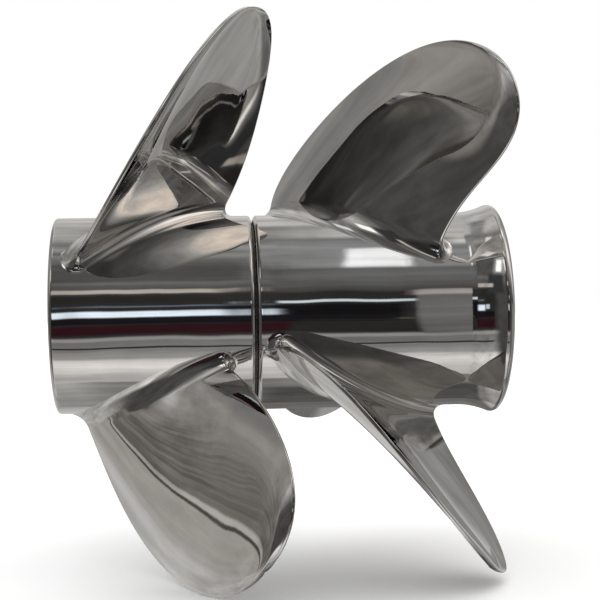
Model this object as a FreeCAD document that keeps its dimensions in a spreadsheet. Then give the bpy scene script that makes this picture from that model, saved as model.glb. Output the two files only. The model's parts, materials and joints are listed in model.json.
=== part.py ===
import FreeCAD, Part
import math
import os

import Sketcher

# A contra-rotating pair of boat propellers on one shaft axis, with the cushion bushes,
# splined sleeves and fasteners that hold each one on its shaft.
# +X runs aft along the shafts and +Z is up. The origin is the mouth of the front
# sleeve's bore, where the outer shaft enters.

document = FreeCAD.newDocument("contra_rotating_propellers")

# ---------------------------------------------------------------- driving dimensions
# Lengths are millimetres and angles are degrees. Every x_ length is counted from the origin.

DRIVING = {
    # outer barrels
    "x_seam": 106.0,
    "seam_gap": 1.5,
    "barrel_radius": 63.0,
    "barrel_wall": 5.5,
    "barrel_edge": 2.5,
    "front_barrel_length": 125.0,
    "rear_barrel_length": 157.7,
    # flared exhaust end of the rear barrel
    "flare_length": 27.0,
    "flare_angle": 24.0,
    "lip_radius": 4.0,
    # spigot of the rear barrel inside the front one
    "spigot_length": 6.0,
    "spigot_clearance": 1.0,
    "spigot_wall": 5.0,
    # inner barrels and ribs
    "front_core_radius": 39.0,
    "rear_core_radius": 33.0,
    "core_wall": 6.0,
    "rib_thickness": 6.0,
    "rib_setback": 4.0,
    # cushion bushes
    "bush_shell_wall": 1.5,
    "front_sleeve_radius": 27.0,
    "front_sleeve_length": 84.0,
    "front_pilot_radius": 22.3,
    "front_pilot_length": 20.0,
    "front_spline_crest": 20.5,
    "front_spline_root": 22.1,
    "x_rear_sleeve": 126.0,
    "rear_sleeve_radius": 19.5,
    "rear_sleeve_length": 90.0,
    "rear_pilot_radius": 14.3,
    "rear_pilot_length": 18.0,
    "rear_spline_crest": 12.7,
    "rear_spline_root": 14.1,
    "spline_width": 3.4,
    "spline_run_in": 2.0,
    # front fastening
    "thrust_ring_length": 14.0,
    "thrust_ring_nose": 3.0,
    "front_thrust_radius": 32.0,
    "front_thrust_bore": 23.0,
    "lock_washer_thickness": 2.0,
    "lock_washer_radius": 31.0,
    "lock_tab_length": 7.0,
    "lock_tab_width": 9.0,
    "ring_nut_length": 15.0,
    "ring_nut_radius": 28.5,
    "lock_tab_clearance": 0.3,
    "notch_overshoot": 2.0,
    "ring_nut_bore": 20.3,
    "ring_nut_slot_width": 9.4,
    "ring_nut_slot_depth": 3.5,
    "ring_nut_chamfer": 1.0,
    # rear fastening
    "rear_thrust_radius": 26.0,
    "rear_thrust_bore": 15.0,
    "spacer_length": 6.0,
    "spacer_radius": 24.0,
    "spacer_bore": 12.9,
    "washer_thickness": 3.0,
    "washer_radius": 20.0,
    "washer_bore": 10.3,
    "castle_nut_length": 20.0,
    "castle_nut_flats": 32.0,
    "castle_nut_bore": 9.6,
    "castle_radius": 14.0,
    "castle_slot_width": 5.0,
    "castle_slot_depth": 8.0,
    "cotter_wire": 2.0,
    "cotter_eye": 3.2,
    "cotter_reach": 20.5,
    "cotter_bend": 4.0,
    # blades of both propellers
    "blade_count": 3.0,
    "root_fillet": 9.0,
    "blade_edge_root": 1.6,
    "blade_edge_tip": 1.0,
    "blade_thickness_root": 13.0,
    "blade_thickness_tip": 2.6,
    "blade_cup": 7.0,
    # front blades: half-chord, rake and skew each follow a curve from root to tip
    "front_blade_radius": 195.5,
    "x_front_blade": 40.5,
    "front_blade_angle": 61.2,
    "front_pitch_root": 547.7,
    "front_pitch_tip": 519.2,
    "front_chord_root": 55.3,
    "front_chord_low": 74.7,
    "front_chord_high": 104.1,
    "front_chord_tip": 139.0,
    "front_rake_low": 21.3,
    "front_rake_high": 27.8,
    "front_rake_tip": 63.4,
    "front_skew_low": -0.3,
    "front_skew_high": -0.7,
    "front_skew_tip": 11.2,
    "front_camber": 6.0,
    # rear blades
    "rear_blade_radius": 179.4,
    "x_rear_blade": 169.9,
    "rear_blade_angle": 67.6,
    "rear_pitch_root": 552.9,
    "rear_pitch_tip": 587.3,
    "rear_chord_root": 62.2,
    "rear_chord_low": 77.5,
    "rear_chord_high": 100.9,
    "rear_chord_tip": 114.4,
    "rear_rake_low": 3.3,
    "rear_rake_high": 43.4,
    "rear_rake_tip": 70.2,
    "rear_skew_low": -13.9,
    "rear_skew_high": 5.1,
    "rear_skew_tip": 6.2,
    "rear_camber": -6.1,
}

sheet = document.addObject("Spreadsheet::Sheet", "Dimensions")
for row, (alias, number) in enumerate(DRIVING.items(), start=1):
    sheet.set("A%d" % row, alias.replace("_", " "))
    sheet.set("B%d" % row, str(number))
    sheet.setAlias("B%d" % row, alias)
document.recompute()


class Size:
    """A size worked out from sheet cells: its number, and the expression that binds it."""

    def __init__(self, number, text):
        self.number = number
        self.text = text

    def __add__(self, other):
        other = as_size(other)
        return Size(self.number + other.number, "(%s + %s)" % (self.text, other.text))

    def __sub__(self, other):
        other = as_size(other)
        return Size(self.number - other.number, "(%s - %s)" % (self.text, other.text))

    def __mul__(self, other):
        other = as_size(other)
        return Size(self.number * other.number, "(%s * %s)" % (self.text, other.text))


def as_size(value):
    return value if isinstance(value, Size) else Size(value, repr(value))


def cell(alias):
    """The size held by one cell of the sheet."""
    return Size(getattr(sheet, alias), "Dimensions." + alias)


def sine(angle):
    return Size(math.sin(math.radians(angle.number)), "sin(%s * 1deg)" % angle.text)


def cosine(angle):
    return Size(math.cos(math.radians(angle.number)), "cos(%s * 1deg)" % angle.text)


ZERO = Size(0.0, "0")

# ---------------------------------------------------------------- sketch and feature helpers


def new_body(name, x_start):
    """A body whose own X axis is the shaft axis, starting at x_start."""
    body = document.addObject("PartDesign::Body", name)
    body.Label = name
    body.setExpression("Placement.Base.x", x_start.text)
    document.recompute()
    return body


def origin_feature(body, role):
    return [item for item in body.Origin.OriginFeatures if item.Role == role][0]


def new_sketch(body, name, role, offset=None):
    sketch = body.newObject("Sketcher::SketchObject", name)
    sketch.AttachmentSupport = [(origin_feature(body, role), "")]
    sketch.MapMode = "FlatFace"
    if offset is not None:
        sketch.setExpression("AttachmentOffset.Base.z", offset.text)
    return sketch


def pin_point(sketch, geometry, end, place):
    """Hold one point of a line or arc at a place, across and up. None leaves that way free."""
    kinds = (("DistanceX", -2), ("DistanceY", -1))
    for (kind, axis), size in zip(kinds, place):
        if size is None:
            continue
        if abs(size.number) < 1e-9:
            sketch.addConstraint(Sketcher.Constraint("PointOnObject", geometry, end, axis))
        else:
            held = Sketcher.Constraint(kind, -1, 1, geometry, end, size.number)
            index = sketch.addConstraint(held)
            sketch.setExpression("Constraints[%d]" % index, size.text)


def draw_polygon(sketch, outline):
    """A closed outline of straight lines with every corner pinned."""
    corners = [FreeCAD.Vector(across.number, up.number, 0) for across, up in outline]
    count = len(corners)
    for index in range(count):
        sketch.addGeometry(Part.LineSegment(corners[index], corners[(index + 1) % count]))
    for index in range(count):
        follower = (index + 1) % count
        sketch.addConstraint(Sketcher.Constraint("Coincident", index, 2, follower, 1))
    for index, place in enumerate(outline):
        pin_point(sketch, index, 1, place)


def revolve(body, name, outline):
    """Turn an outline of (along the axis, radius) corners about the body's X axis."""
    sketch = new_sketch(body, name + "_profile", "XZ_Plane")
    draw_polygon(sketch, outline)
    feature = body.newObject("PartDesign::Revolution", name)
    feature.Profile = sketch
    feature.ReferenceAxis = (sketch, ["H_Axis"])
    feature.Angle = 360
    document.recompute()
    return feature


def ring(name, x_start, outline):
    body = new_body(name, x_start)
    revolve(body, name + "_turning", outline)
    return body


def plain_outline(length, bore, radius):
    return [(ZERO, bore), (ZERO, radius), (length, radius), (length, bore)]


def around(body, feature, count):
    """Repeat a feature evenly about the body's X axis."""
    pattern = body.newObject("PartDesign::PolarPattern", feature.Name + "_pattern")
    pattern.Originals = [feature]
    pattern.Axis = (origin_feature(body, "X_Axis"), [""])
    pattern.Angle = 360
    pattern.Occurrences = count
    body.Tip = pattern
    document.recompute()
    return pattern


def radial_rectangle(sketch, width, low, high):
    half = width * 0.5
    outline = [(ZERO - half, low), (half, low), (half, high), (ZERO - half, high)]
    draw_polygon(sketch, outline)


def radial_pad(body, name, start, length, width, low, high):
    """A block that stands on the YZ plane at start and runs aft."""
    sketch = new_sketch(body, name + "_section", "YZ_Plane", start)
    radial_rectangle(sketch, width, low, high)
    pad = body.newObject("PartDesign::Pad", name)
    pad.Profile = sketch
    pad.setExpression("Length", length.text)
    document.recompute()
    return pad


def radial_notches(body, name, end, length, width, low, high, count):
    """Equal notches cut forward from a plane at end."""
    before = body.Shape.Volume
    sketch = new_sketch(body, name + "_section", "YZ_Plane", end)
    radial_rectangle(sketch, width, low, high)
    pocket = body.newObject("PartDesign::Pocket", name)
    pocket.Profile = sketch
    pocket.setExpression("Length", length.text)
    document.recompute()
    around(body, pocket, count)
    if body.Shape.Volume >= before:
        raise RuntimeError(name + " cut nothing")


def round_edges(body, name, radius, wanted):
    """Fillet the circular edges for which wanted(x, radius) is true."""
    base = body.Tip
    names = []
    for index, edge in enumerate(base.Shape.Edges, start=1):
        if isinstance(edge.Curve, Part.Circle) and wanted(edge.Curve.Center.x, edge.Curve.Radius):
            names.append("Edge%d" % index)
    fillet = body.newObject("PartDesign::Fillet", name)
    fillet.Base = (base, names)
    fillet.setExpression("Radius", radius.text)
    body.Tip = fillet
    document.recompute()
    return fillet


# ---------------------------------------------------------------- hubs

barrel_radius = cell("barrel_radius")
barrel_bore = barrel_radius - cell("barrel_wall")
half_gap = cell("seam_gap") * 0.5
x_front_barrel = cell("x_seam") - half_gap - cell("front_barrel_length")
x_rear_barrel = cell("x_seam") + half_gap


def add_core(body, name, core_start, core_length, core_radius):
    """Three ribs across the exhaust passage, then the inner barrel that they carry."""
    core_bore = core_radius - cell("core_wall")
    setback = cell("rib_setback")
    rib_low = core_radius - cell("core_wall") * 0.5
    rib_high = barrel_radius - cell("barrel_wall") * 0.5
    rib = radial_pad(body, name + "_rib", core_start + setback, core_length - setback - setback,
                     cell("rib_thickness"), rib_low, rib_high)
    around(body, rib, 3)
    core_end = core_start + core_length
    revolve(body, name + "_core", [(core_start, core_bore), (core_start, core_radius),
                                   (core_end, core_radius), (core_end, core_bore)])


def front_hub():
    """Plain barrel, rounded at both ends, with its inner barrel."""
    body = new_body("front_hub", x_front_barrel)
    length = cell("front_barrel_length")
    revolve(body, "front_barrel", plain_outline(length, barrel_bore, barrel_radius))
    round_edges(body, "front_barrel_edges", cell("barrel_edge"),
                lambda x, radius: abs(radius - barrel_radius.number) < 0.01)
    core_start = ZERO - x_front_barrel
    add_core(body, "front", core_start, cell("front_sleeve_length"), cell("front_core_radius"))
    return body


def draw_rear_barrel(sketch):
    """Half section of the rear barrel: spigot, straight run, flare, rounded lip and bore."""
    length = cell("rear_barrel_length")
    angle = cell("flare_angle")
    lip = cell("lip_radius")
    flare_start = length - cell("flare_length")
    flare_run = cell("flare_length") - lip - lip * sine(angle)
    flare_radius = Size(flare_run.number / sine(angle).number,
                        "(%s / %s)" % (flare_run.text, sine(angle).text))
    turn = Size(1.0, "1") - cosine(angle)
    flare_end = (flare_start + flare_run, barrel_radius + flare_radius * turn)
    lip_centre = (length - lip, flare_end[1] - lip * cosine(angle))
    spigot_radius = barrel_bore - cell("spigot_clearance")
    spigot_bore = spigot_radius - cell("spigot_wall")
    spigot_tip = ZERO - half_gap - cell("spigot_length")
    step = cell("spigot_wall")
    mouth = lip_centre[1] - step
    outline = [(length, mouth), (flare_start, barrel_bore), (step + step, barrel_bore),
               (step, spigot_bore), (spigot_tip, spigot_bore), (spigot_tip, spigot_radius),
               (ZERO, spigot_radius), (ZERO, barrel_radius), (flare_start, barrel_radius)]
    corners = [FreeCAD.Vector(x.number, up.number, 0) for x, up in outline]
    for first, second in zip(corners, corners[1:]):
        sketch.addGeometry(Part.LineSegment(first, second))
    lines = len(corners) - 1
    for index in range(lines - 1):
        sketch.addConstraint(Sketcher.Constraint("Coincident", index, 2, index + 1, 1))
    for index in range(lines):
        pin_point(sketch, index, 1, outline[index])
    pin_point(sketch, lines - 1, 2, outline[lines])
    # the concave flare, tangent to the barrel
    middle = FreeCAD.Vector(flare_start.number, barrel_radius.number + flare_radius.number, 0)
    down = math.radians(-90.0)
    circle = Part.Circle(middle, FreeCAD.Vector(0, 0, 1), flare_radius.number)
    flare = sketch.addGeometry(Part.ArcOfCircle(circle, down, down + math.radians(angle.number)))
    sketch.addConstraint(Sketcher.Constraint("Coincident", flare, 1, lines - 1, 2))
    pin_point(sketch, flare, 2, (flare_end[0], None))
    pin_point(sketch, flare, 3, (flare_start, barrel_radius + flare_radius))
    # the convex lip, tangent to the flare and to the end face
    centre = FreeCAD.Vector(lip_centre[0].number, lip_centre[1].number, 0)
    circle = Part.Circle(centre, FreeCAD.Vector(0, 0, 1), lip.number)
    start = math.radians(90.0 + angle.number)
    round_lip = sketch.addGeometry(Part.ArcOfCircle(circle, 0.0, start))
    sketch.addConstraint(Sketcher.Constraint("Coincident", round_lip, 2, flare, 2))
    pin_point(sketch, round_lip, 3, lip_centre)
    pin_point(sketch, round_lip, 1, (None, lip_centre[1]))
    face = sketch.addGeometry(Part.LineSegment(FreeCAD.Vector(length.number, lip_centre[1].number, 0),
                                               corners[0]))
    sketch.addConstraint(Sketcher.Constraint("Coincident", face, 1, round_lip, 1))
    sketch.addConstraint(Sketcher.Constraint("Coincident", face, 2, 0, 1))


def rear_hub():
    """Barrel with a spigot that enters the front barrel and a flared exhaust end."""
    body = new_body("rear_hub", x_rear_barrel)
    sketch = new_sketch(body, "rear_barrel_profile", "XZ_Plane")
    draw_rear_barrel(sketch)
    barrel = body.newObject("PartDesign::Revolution", "rear_barrel")
    barrel.Profile = sketch
    barrel.ReferenceAxis = (sketch, ["H_Axis"])
    barrel.Angle = 360
    document.recompute()
    round_edges(body, "rear_barrel_edge", cell("barrel_edge"),
                lambda x, radius: abs(x) < 0.01 and abs(radius - barrel_radius.number) < 0.01)
    core_start = cell("x_rear_sleeve") - x_rear_barrel
    add_core(body, "rear", core_start, cell("rear_sleeve_length"), cell("rear_core_radius"))
    return body


# ---------------------------------------------------------------- blades

CUP_START = 0.7        # share of the half chord where the trailing edge starts to curl
CHORD_STEPS = 12       # points along each side of a section
CAP_STEPS = 4          # points round each of its two edges
FILLET_BURIED = 12.0   # degrees of the root fillet's arc that lie under the barrel's skin
FILLET_TURNS = (0.0, 20.0, 40.0, 60.0, 90.0)
SPAN_TENTHS = (1.4, 2.3, 3.2, 4.1, 5.0, 6.0, 7.0, 8.0, 8.8, 9.4, 9.8)


def bezier(controls, place):
    """A curve's value at place, from 0 to 1, by repeated blending of its control values."""
    values = list(controls)
    while len(values) > 1:
        values = [low + (high - low) * place for low, high in zip(values, values[1:])]
    return values[0]


class BladeForm:
    """One propeller's blade laws. twist is +1 for a left-hand screw and -1 for a right-hand one."""

    def __init__(self, end, twist):
        def value(alias):
            return getattr(sheet, end + "_" + alias)

        self.twist = twist
        self.tip_radius = value("blade_radius")
        self.base_angle = math.radians(value("blade_angle"))
        self.x_root = getattr(sheet, "x_%s_blade" % end)
        self.pitch = (value("pitch_root"), value("pitch_tip"))
        self.half_chord = (value("chord_root"), value("chord_low"),
                           value("chord_high"), value("chord_tip"))
        self.camber = value("camber")
        self.rake = (0.0, value("rake_low"), value("rake_high"), value("rake_tip"))
        skew = (0.0, value("skew_low"), value("skew_high"), value("skew_tip"))
        self.skew = [math.radians(angle) for angle in skew]


def span_share(form, radius):
    """How far along the blade a radius lies, from 0 at the barrel to 1 at the tip."""
    root = sheet.barrel_radius
    return min(1.0, max(0.0, (radius - root) / (form.tip_radius - root)))


def section_places(form, radius, grow):
    """Four edges' points round one section, each (along the chord, off the chord line).

    Along the chord runs from the leading to the trailing edge, and off it towards the
    suction side. grow pushes the whole outline out, as the root fillet does.
    """
    share = span_share(form, radius)
    half_chord = bezier(form.half_chord, share) * math.sqrt(1.0 - share * share)
    edge = min(bezier((sheet.blade_edge_root, sheet.blade_edge_tip), share), half_chord * 0.3)
    thickest = bezier((sheet.blade_thickness_root, sheet.blade_thickness_tip), share) / 2.0
    thickest = max(edge, min(thickest, half_chord * 0.4))
    reach = half_chord - edge
    curved = share * half_chord / (half_chord + form.half_chord[0])

    def half_thickness(along):
        return edge + (thickest - edge) * (1.0 - along * along)

    def mean_line(along):
        bow = half_thickness(along) - edge + form.camber * curved * (1.0 - along * along)
        cupped = max(0.0, (along - CUP_START) / (1.0 - CUP_START))
        return bow - sheet.blade_cup * curved * cupped * cupped

    stations = [-1.0 + 2.0 * step / CHORD_STEPS for step in range(CHORD_STEPS + 1)]
    suction = [(reach * s, mean_line(s) + half_thickness(s) + grow) for s in stations]
    pressure = [(reach * s, mean_line(s) - half_thickness(s) - grow) for s in reversed(stations)]
    trailing = []
    leading = []
    for step in range(CAP_STEPS + 1):
        turn = math.radians(90.0 - 180.0 * step / CAP_STEPS)
        round_radius = edge + grow
        trailing.append((reach + round_radius * math.cos(turn),
                         mean_line(1.0) + round_radius * math.sin(turn)))
        leading.append((-reach - round_radius * math.cos(turn),
                        mean_line(-1.0) - round_radius * math.sin(turn)))
    return [suction, trailing, pressure, leading]


def placed(form, radius, place, blade_angle):
    """A section place, wrapped on the cylinder of its radius."""
    share = span_share(form, radius)
    along, off = place
    helix = math.atan(bezier(form.pitch, share) / (2.0 * math.pi * radius))
    x = form.x_root + bezier(form.rake, share) + along * math.sin(helix) - off * math.cos(helix)
    around_axis = bezier(form.skew, share)
    around_axis += (along * math.cos(helix) + off * math.sin(helix)) / radius
    angle = blade_angle + form.twist * around_axis
    return FreeCAD.Vector(x, -radius * math.cos(angle), radius * math.sin(angle))


def smooth_edge(points):
    curve = Part.BSplineCurve()
    curve.interpolate(points)
    return curve.toShape()


def section_edges(form, radius, grow, blade_angle):
    edges = []
    for places in section_places(form, radius, grow):
        edges.append(smooth_edge([placed(form, radius, place, blade_angle) for place in places]))
    return edges


def blade_stations(form):
    """(radius, grow) of each section: the root fillet's quarter turn, then out to the tip."""
    root = sheet.barrel_radius
    fillet = sheet.root_fillet
    first = math.cos(math.radians(FILLET_BURIED))
    stations = []
    for degrees in FILLET_TURNS:
        turn = math.radians(degrees)
        stations.append((root + fillet * (first - math.cos(turn)), fillet * (1.0 - math.sin(turn))))
    for tenths in SPAN_TENTHS:
        share = math.sin(math.pi * tenths / 20.0)
        stations.append((root + (form.tip_radius - root) * share, 0.0))
    return stations


def dropped(edge, outward, height):
    """The edge's points brought down along outward to one plane, height from the axis."""
    first, last = edge.ParameterRange
    points = []
    for step in range(CHORD_STEPS + 1):
        point = edge.valueAt(first + (last - first) * step / CHORD_STEPS)
        points.append(point - outward * (point.dot(outward) - height))
    return smooth_edge(points)


def blade_solid(form, blade_angle):
    """One blade, closed by a flat foot inside the hub and a small flat at the tip."""
    sections = [section_edges(form, radius, grow, blade_angle)
                for radius, grow in blade_stations(form)]
    tip_angle = blade_angle + form.twist * form.skew[-1]
    tip_outward = FreeCAD.Vector(0, -math.cos(tip_angle), math.sin(tip_angle))
    sections[-1] = [dropped(edge, tip_outward, form.tip_radius) for edge in sections[-1]]
    skin = Part.makeLoft([Part.Wire(edges) for edges in sections], False, False)
    faces = list(skin.Faces)
    outward = FreeCAD.Vector(0, -math.cos(blade_angle), math.sin(blade_angle))
    foot_height = sheet.barrel_radius * 0.5
    foot = [dropped(edge, outward, foot_height) for edge in sections[0]]
    for upper, lower in zip(sections[0], foot):
        faces.extend(Part.makeRuledSurface(lower, upper).Faces)
    faces.append(Part.Face(Part.Wire(foot)))
    faces.append(Part.Face(Part.Wire(sections[-1])))
    shell = Part.makeShell(faces)
    shell.sewShape()
    solid = Part.makeSolid(shell)
    if solid.Volume < 0:
        solid.reverse()
    return solid


def blade_set(name, form):
    """The blades of one propeller, trimmed so that none reaches into the exhaust passage."""
    count = int(sheet.blade_count)
    keep_out = Part.makeCylinder(sheet.barrel_radius - sheet.barrel_wall * 0.5, 1000.0,
                                 FreeCAD.Vector(-500, 0, 0), FreeCAD.Vector(1, 0, 0))
    blades = []
    for index in range(count):
        angle = form.base_angle + 2.0 * math.pi * index / count
        blades.append(blade_solid(form, angle).cut(keep_out))
    feature = document.addObject("Part::Feature", name)
    feature.Shape = Part.makeCompound(blades)
    feature.Placement = FreeCAD.Placement()
    return feature


def casting(name, hub, blades):
    """Hub and blades as the one casting that they are."""
    joined = document.addObject("Part::MultiFuse", name)
    joined.Label = name
    joined.Shapes = [hub, blades]
    joined.Placement = FreeCAD.Placement()
    document.recompute()
    return joined


# ---------------------------------------------------------------- bushes and sleeves


def splined_sleeve(name, x_start, end, spline_count):
    """Sleeve with a plain pilot land at its mouth and splines behind it."""
    length = cell(end + "_sleeve_length")
    radius = cell(end + "_sleeve_radius")
    pilot = cell(end + "_pilot_radius")
    pilot_length = cell(end + "_pilot_length")
    crest = cell(end + "_spline_crest")
    body = ring(name, x_start, [(ZERO, pilot), (ZERO, radius), (length, radius), (length, crest),
                                (pilot_length, crest), (pilot_length, pilot)])
    radial_notches(body, end + "_spline", length, length - pilot_length,
                   cell("spline_width"), crest - cell("spline_run_in"), cell(end + "_spline_root"),
                   spline_count)
    return body


def cushion_bush(end, x_start):
    """Rubber bonded on the sleeve, and the thin shell round it that the inner barrel grips."""
    inner = cell(end + "_sleeve_radius")
    shell_outer = cell(end + "_core_radius") - cell("core_wall")
    shell_inner = shell_outer - cell("bush_shell_wall")
    length = cell(end + "_sleeve_length") - cell("rib_setback")
    start = x_start + cell("rib_setback") * 0.5
    rubber = ring(end + "_rubber_bush", start, plain_outline(length, inner, shell_inner))
    shell = ring(end + "_bush_shell", start, plain_outline(length, shell_inner, shell_outer))
    return [rubber, shell]


def thrust_ring(name, x_start, bore, radius):
    """Ring with a tapered nose towards the drive."""
    length = cell("thrust_ring_length")
    nose = cell("thrust_ring_nose")
    return ring(name, x_start, [(ZERO, bore), (ZERO, radius - nose), (nose, radius),
                                (length, radius), (length, bore)])


# ---------------------------------------------------------------- fasteners


def front_lock_washer(x_start):
    """Thin washer with tabs bent aft into the ring nut's slots."""
    thickness = cell("lock_washer_thickness")
    radius = cell("lock_washer_radius")
    body = ring("front_lock_washer", x_start,
                plain_outline(thickness, cell("ring_nut_bore"), radius))
    tab_low = cell("ring_nut_radius") - cell("ring_nut_slot_depth") + cell("lock_tab_clearance")
    tab = radial_pad(body, "lock_tab", thickness * 0.5, cell("lock_tab_length"),
                     cell("lock_tab_width"), tab_low, tab_low + thickness)
    around(body, tab, 3)
    return body


def front_ring_nut(x_start):
    """Round nut with six spanner slots; three of them take the lock washer's tabs."""
    length = cell("ring_nut_length")
    radius = cell("ring_nut_radius")
    chamfer = cell("ring_nut_chamfer")
    body = ring("front_ring_nut", x_start,
                [(ZERO, cell("ring_nut_bore")), (ZERO, radius), (length - chamfer, radius),
                 (length, radius - chamfer), (length, cell("ring_nut_bore"))])
    radial_notches(body, "ring_nut_slot", length, length, cell("ring_nut_slot_width"),
                   radius - cell("ring_nut_slot_depth"), radius + cell("notch_overshoot"), 6)
    return body


def along_x(feature, x_start):
    """Stand a feature that was built up its own Z axis along the shaft axis."""
    turn = FreeCAD.Rotation(FreeCAD.Vector(0, 1, 0), 90)
    feature.Placement = FreeCAD.Placement(FreeCAD.Vector(x_start.number, 0, 0), turn)
    feature.setExpression("Placement.Base.x", x_start.text)


def rear_castle_nut(x_start):
    """Hexagon with a slotted round crown."""
    length = cell("castle_nut_length")
    slot_depth = cell("castle_slot_depth")
    hexagon = document.addObject("Part::Prism", "castle_hexagon")
    hexagon.Polygon = 6
    corner = cell("castle_nut_flats") * (1.0 / math.sqrt(3.0))
    hexagon.setExpression("Circumradius", corner.text)
    hexagon.setExpression("Height", (length - slot_depth).text)
    crown = document.addObject("Part::Cylinder", "castle_crown")
    crown.setExpression("Radius", cell("castle_radius").text)
    crown.setExpression("Height", length.text)
    blank = document.addObject("Part::Fuse", "castle_blank")
    blank.Base = hexagon
    blank.Tool = crown
    cutters = [document.addObject("Part::Cylinder", "castle_bore")]
    cutters[0].setExpression("Radius", cell("castle_nut_bore").text)
    cutters[0].setExpression("Height", length.text)
    for index in range(3):
        slot = document.addObject("Part::Box", "castle_slot_%d" % (index + 1))
        width = cell("castle_slot_width")
        span = cell("castle_nut_flats")
        slot.setExpression("Length", span.text)
        slot.setExpression("Width", width.text)
        slot.setExpression("Height", slot_depth.text)
        centre = FreeCAD.Vector(span.number / 2.0, width.number / 2.0, 0)
        turn = FreeCAD.Rotation(FreeCAD.Vector(0, 0, 1), 60.0 * index)
        lift = FreeCAD.Vector(0, 0, (length - slot_depth * 0.75).number)
        slot.Placement = FreeCAD.Placement(lift - turn.multVec(centre), turn)
        cutters.append(slot)
    cutter = document.addObject("Part::MultiFuse", "castle_cutter")
    cutter.Shapes = cutters
    nut = document.addObject("Part::Cut", "rear_castle_nut")
    nut.Label = "rear_castle_nut"
    nut.Base = blank
    nut.Tool = cutter
    along_x(nut, x_start)
    document.recompute()
    return nut


def cotter_leg(side):
    """One leg of the split pin: down beside the other, then bent out along the shaft."""
    wire = sheet.cotter_wire
    reach = sheet.cotter_reach
    middle = side * wire * 0.51
    bend = wire * 1.5
    near = bend * (1.0 - math.sqrt(0.5))
    top = FreeCAD.Vector(middle, 0, reach)
    above = FreeCAD.Vector(middle, 0, bend - reach)
    between = FreeCAD.Vector(middle + side * near, 0, near - reach)
    turned = FreeCAD.Vector(middle + side * bend, 0, -reach)
    tip = FreeCAD.Vector(middle + side * (bend + sheet.cotter_bend), 0, -reach)
    curves = [Part.LineSegment(top, above), Part.Arc(above, between, turned),
              Part.LineSegment(turned, tip)]
    path = Part.Wire([curve.toShape() for curve in curves])
    section = Part.makeCircle(wire * 0.5, top, FreeCAD.Vector(0, 0, 1))
    return path.makePipeShell([Part.Wire([section])], True, False)


def rear_cotter_pin(x_start):
    """Split pin across the shaft: an eye on top, two legs side by side, ends bent apart."""
    wire = sheet.cotter_wire
    eye = sheet.cotter_eye
    centre = FreeCAD.Vector(0, 0, sheet.cotter_reach + eye)
    shape = Part.makeTorus(eye, wire * 0.5, centre, FreeCAD.Vector(0, 1, 0))
    shape = shape.fuse([cotter_leg(-1.0), cotter_leg(1.0)])
    feature = document.addObject("Part::Feature", "rear_cotter_pin")
    feature.Label = "rear_cotter_pin"
    feature.Shape = shape
    feature.Placement = FreeCAD.Placement(FreeCAD.Vector(x_start.number, 0, 0), FreeCAD.Rotation())
    return feature


# ---------------------------------------------------------------- assembly

x_rear_sleeve = cell("x_rear_sleeve")
x_front_washer = cell("front_sleeve_length")
x_ring_nut = x_front_washer + cell("lock_washer_thickness")
x_spacer = x_rear_sleeve + cell("rear_sleeve_length")
x_rear_washer = x_spacer + cell("spacer_length")
x_castle_nut = x_rear_washer + cell("washer_thickness")
x_cotter = x_castle_nut + cell("castle_nut_length") - cell("castle_slot_depth") * 0.5

pieces = [
    casting("front_propeller", front_hub(), blade_set("front_blades", BladeForm("front", 1))),
    casting("rear_propeller", rear_hub(), blade_set("rear_blades", BladeForm("rear", -1))),
    splined_sleeve("front_splined_sleeve", ZERO, "front", 24),
    splined_sleeve("rear_splined_sleeve", x_rear_sleeve, "rear", 16),
    thrust_ring("front_thrust_ring", ZERO - cell("thrust_ring_length"),
                cell("front_thrust_bore"), cell("front_thrust_radius")),
    thrust_ring("rear_thrust_ring", x_rear_sleeve - cell("thrust_ring_length"),
                cell("rear_thrust_bore"), cell("rear_thrust_radius")),
    front_lock_washer(x_front_washer),
    front_ring_nut(x_ring_nut),
    ring("rear_spacer", x_spacer,
         plain_outline(cell("spacer_length"), cell("spacer_bore"), cell("spacer_radius"))),
    ring("rear_washer", x_rear_washer,
         plain_outline(cell("washer_thickness"), cell("washer_bore"), cell("washer_radius"))),
    rear_castle_nut(x_castle_nut),
    rear_cotter_pin(x_cotter),
]
pieces += cushion_bush("front", ZERO)
pieces += cushion_bush("rear", x_rear_sleeve)
document.recompute()

# ---------------------------------------------------------------- checks and export

for item in document.Objects:
    if "Invalid" in item.State or "Error" in item.State:
        raise RuntimeError(item.Name + " failed to build")

os.makedirs("parts", exist_ok=True)
for piece in pieces:
    shape = piece.Shape
    if shape.isNull() or not shape.isValid() or len(shape.Solids) != 1:
        raise RuntimeError("%s is not one valid solid" % piece.Label)
    shape.exportStep(os.path.join("parts", piece.Label + ".step"))
    print("%-22s volume %10.1f  box %s" % (piece.Label, shape.Volume, shape.BoundBox))
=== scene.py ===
import json
import math

import bpy
import numpy as np
from mathutils import Matrix, Vector


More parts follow.
